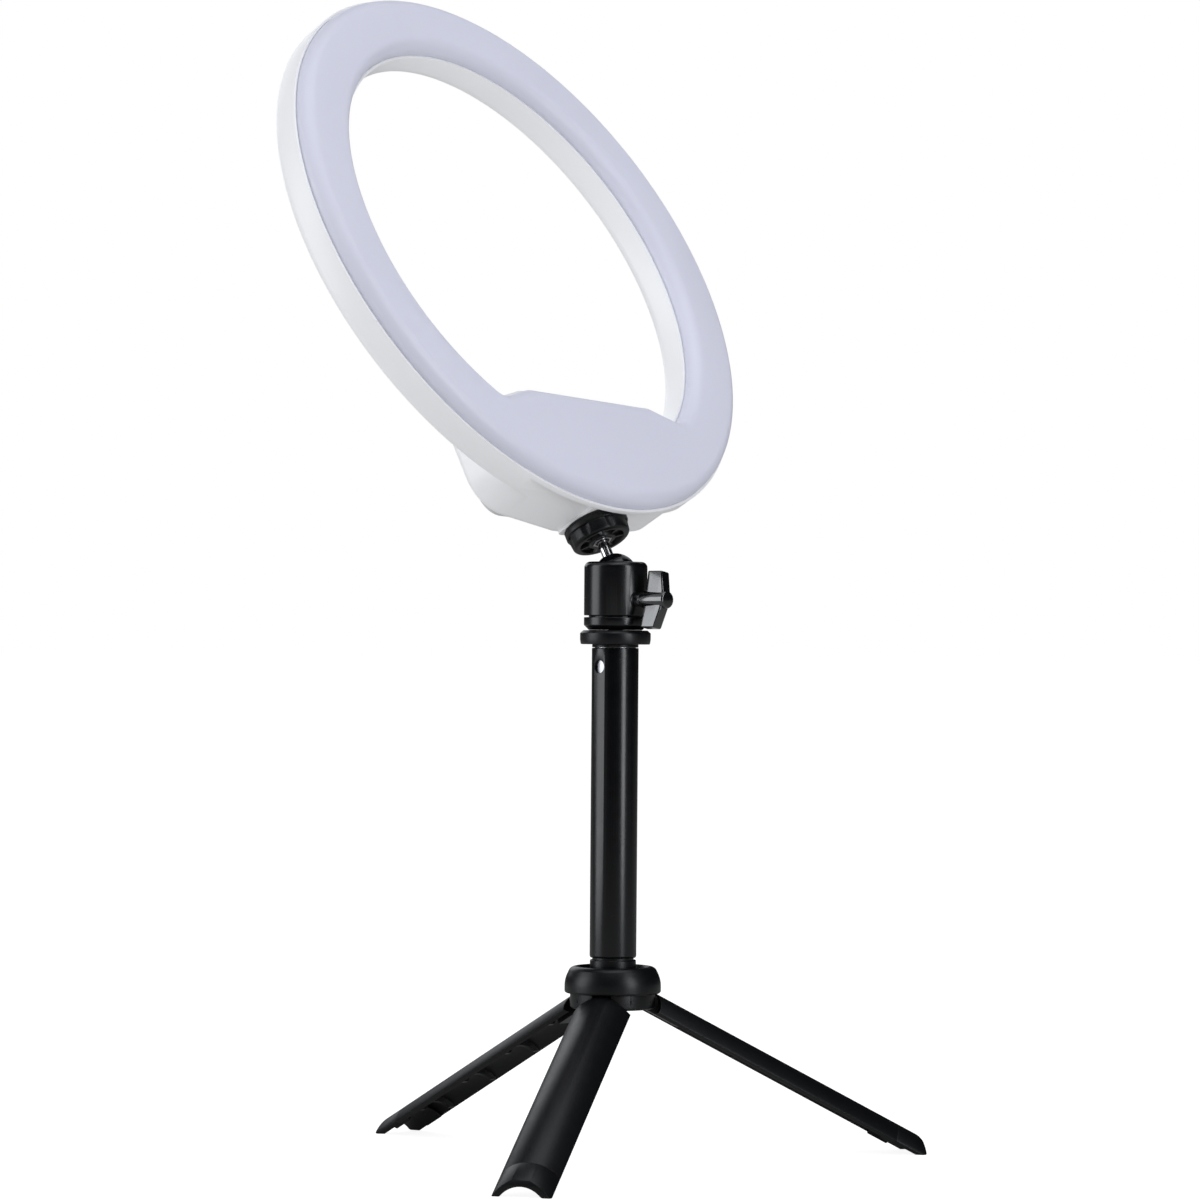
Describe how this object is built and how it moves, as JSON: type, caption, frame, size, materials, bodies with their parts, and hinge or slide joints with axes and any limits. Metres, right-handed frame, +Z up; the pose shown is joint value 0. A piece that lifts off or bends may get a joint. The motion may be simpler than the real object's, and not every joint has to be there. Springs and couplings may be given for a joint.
{
  "type": "ring light",
  "caption": "Ring light on a ball head, a telescoping pole and a small folding tripod.",
  "frame": {"origin": "on the floor under the pole's axis", "axes": "+Z up the pole, -Y towards the front leg, +X to the right of that leg"},
  "size_m": [0.2654, 0.2967, 0.5047],
  "materials": {
    "shell_white": "satin white moulded plastic",
    "diffuser_white": "matte milky plastic",
    "cover_grey": "satin light grey plastic",
    "button_grey": "semi-gloss grey plastic",
    "black_plastic": "satin black moulded plastic",
    "black_rubber": "matte black rubber",
    "black_paint": "satin black coating",
    "ball_black": "polished black coating",
    "bright_steel": "polished plate",
    "plain_steel": "fine turned or drawn steel",
    "bright_aluminium": "drawn and polished",
    "insert_brass": "turned brass",
    "slide_plastic": "natural low-friction plastic",
    "board": "lacquered circuit board",
    "led": "white packages with a yellow coating",
    "component_black": "moulded component bodies",
    "port_metal": "pressed steel shell",
    "wire_skin": "insulated wire"
  },
  "bodies": {
    "tripod": {"hub_collar": "black_plastic", "hub_body": "black_plastic", "hinge_pins": "plain_steel", "hub_bottom_cap": "black_plastic", "centre_bolt": "plain_steel", "outer_tube": "black_paint", "tube_plug": "black_plastic"},
    "leg_front": {"leg_front": "black_plastic", "foot_cap_front": "black_rubber"},
    "leg_right": {"leg_right": "black_plastic", "foot_cap_right": "black_rubber"},
    "leg_left": {"leg_left": "black_plastic", "foot_cap_left": "black_rubber"},
    "inner_pole": {"inner_tube": "bright_aluminium", "pole_cap": "black_plastic", "platform": "black_plastic", "platform_pad": "black_rubber", "platform_stud": "plain_steel", "snap_spring": "plain_steel"},
    "snap_button": {"snap_button": "plain_steel"},
    "ball_clamp": {"ball_housing": "black_paint", "ball_seat": "slide_plastic", "housing_base": "black_plastic"},
    "knob": {"clamp_knob": "black_plastic", "clamp_screw": "plain_steel"},
    "liner": {"ball_liner": "slide_plastic"},
    "ball_and_stem": {"ball": "ball_black", "ball_stud": "bright_steel"},
    "wheel": {"lock_wheel": "black_plastic", "wheel_nut": "plain_steel", "wheel_pad": "black_rubber"},
    "head": {"rear_shell": "shell_white", "diffuser": "diffuser_white", "led_board": "board", "led_chips": "led", "control_cover": "cover_grey", "control_board": "board", "tact_switches": "component_black", "board_parts": "component_black", "power_inlet": "port_metal", "lead_wires": "wire_skin", "shell_screws": "plain_steel", "thread_insert": "insert_brass"},
    "button_power": {"button_power": "button_grey"},
    "button_mode": {"button_mode": "button_grey"},
    "button_plus": {"button_plus": "button_grey"},
    "button_minus": {"button_minus": "button_grey"}
  },
  "joints": [
    {"name": "fold_front", "type": "hinge", "parent": "tripod", "child": "leg_front", "pos_m": [0, -0.0125, 0.0679], "axis": [1, 0, 0], "range_deg": [0, 62]},
    {"name": "fold_right", "type": "hinge", "parent": "tripod", "child": "leg_right", "pos_m": [0.01082, 0.00625, 0.0679], "axis": [-0.5, 0.866, 0], "range_deg": [0, 62]},
    {"name": "fold_left", "type": "hinge", "parent": "tripod", "child": "leg_left", "pos_m": [-0.01082, 0.00625, 0.0679], "axis": [-0.5, -0.866, 0], "range_deg": [0, 62]},
    {"name": "pole_extend", "type": "slide", "parent": "tripod", "child": "inner_pole", "axis": [0, 0, 1], "range_m": [0, 0.1021]},
    {"name": "snap_press", "type": "slide", "parent": "inner_pole", "child": "snap_button", "axis": [-0.4939, -0.8695, 0], "range_m": [-0.0015, 0], "stiffness_N_per_m": 500, "springref_m": 0.0005},
    {"name": "head_pan", "type": "hinge", "parent": "inner_pole", "child": "ball_clamp", "pos_m": [0, 0, 0.2493], "axis": [0, 0, 1], "continuous": true},
    {"name": "knob_turn", "type": "hinge", "parent": "ball_clamp", "child": "knob", "pos_m": [0, 0, 0.2386], "axis": [0.8695, -0.4939, 0], "range_deg": [-180, 180]},
    {"name": "ball_roll", "type": "hinge", "parent": "ball_clamp", "child": "liner", "pos_m": [0, 0, 0.2493], "axis": [-0.8793, 0.4762, 0], "range_deg": [-16, 16]},
    {"name": "ball_tilt", "type": "hinge", "parent": "liner", "child": "ball_and_stem", "pos_m": [0, 0, 0.2493], "axis": [-0.4762, -0.8793, 0], "range_deg": [-60, 60]},
    {"name": "wheel_turn", "type": "hinge", "parent": "ball_and_stem", "child": "wheel", "pos_m": [-0.00876, 0.00475, 0.26664], "axis": [-0.4382, 0.2373, 0.867], "range_deg": [-90, 90]},
    {"name": "ring_spin", "type": "hinge", "parent": "ball_and_stem", "child": "head", "pos_m": [-0.01315, 0.00712, 0.27531], "axis": [-0.4382, 0.2373, 0.867], "continuous": true},
    {"name": "press_power", "type": "slide", "parent": "head", "child": "button_power", "axis": [0.8087, -0.3169, 0.4955], "range_m": [0, 0.0006], "stiffness_N_per_m": 500, "springref_m": -0.0005},
    {"name": "press_mode", "type": "slide", "parent": "head", "child": "button_mode", "axis": [0.8087, -0.3169, 0.4955], "range_m": [0, 0.0006], "stiffness_N_per_m": 500, "springref_m": -0.0005},
    {"name": "press_plus", "type": "slide", "parent": "head", "child": "button_plus", "axis": [0.8087, -0.3169, 0.4955], "range_m": [0, 0.0006], "stiffness_N_per_m": 500, "springref_m": -0.0005},
    {"name": "press_minus", "type": "slide", "parent": "head", "child": "button_minus", "axis": [0.8087, -0.3169, 0.4955], "range_m": [0, 0.0006], "stiffness_N_per_m": 500, "springref_m": -0.0005}
  ]
}
